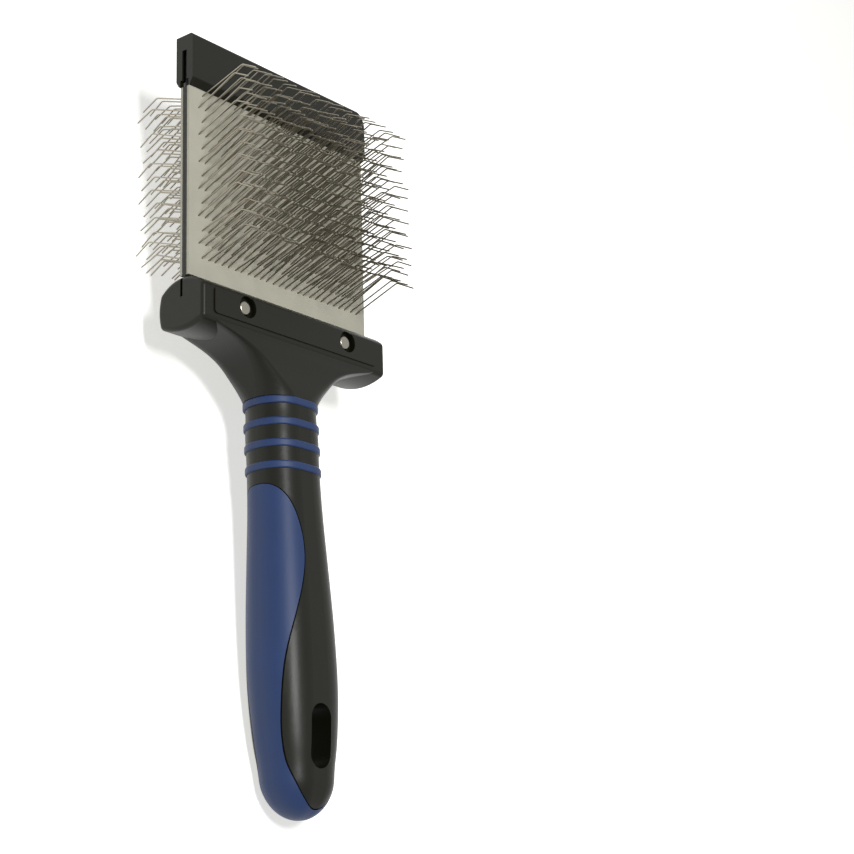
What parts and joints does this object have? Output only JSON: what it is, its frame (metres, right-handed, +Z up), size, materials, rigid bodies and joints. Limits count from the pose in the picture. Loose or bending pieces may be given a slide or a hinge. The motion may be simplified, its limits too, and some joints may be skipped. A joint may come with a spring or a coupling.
{
  "type": "double-sided slicker brush",
  "caption": "Double-sided flexible slicker brush: hooked wire pins on both faces of a springy plate, held in a T handle with a soft grip and a hanging slot.",
  "frame": {"origin": "on the table under the middle of the brush's bounding box", "axes": "+Y from the tail of the grip towards the edge cap, +X across the head, +Z up out of the front pins; the brush lies on its back pins and the back of its grip"},
  "size_m": [0.0844, 0.2448, 0.0586],
  "materials": {
    "core_plastic": "satin",
    "soft_grip": "satin",
    "pin_steel": "bright drawn wire",
    "rivet_steel": "bright plated",
    "leaf_plastic": "matte",
    "backing_cloth": "matte",
    "pad_rubber": "matte",
    "cap_plastic": "satin"
  },
  "bodies": {
    "handle": {"handle_core": "core_plastic", "grip_overmould": "soft_grip", "neck_ring_1": "soft_grip", "neck_ring_2": "soft_grip", "neck_ring_3": "soft_grip", "neck_ring_4": "soft_grip", "rivet_left": "rivet_steel", "rivet_right": "rivet_steel", "rivet_washer_left": "rivet_steel", "rivet_washer_right": "rivet_steel"},
    "head": {"core_leaf": "leaf_plastic", "front_cloth": "backing_cloth", "front_rubber": "pad_rubber", "front_pins": "pin_steel", "back_cloth": "backing_cloth", "back_rubber": "pad_rubber", "back_pins": "pin_steel", "edge_cap": "cap_plastic"}
  },
  "joints": [
    {"name": "head_flex", "type": "hinge", "parent": "handle", "child": "head", "pos_m": [0, 0.04032, 0.02409], "axis": [1, 0, 0], "range_deg": [-15, 15], "stiffness_Nm_per_rad": 1.7, "deforming": ["core_leaf"]}
  ]
}
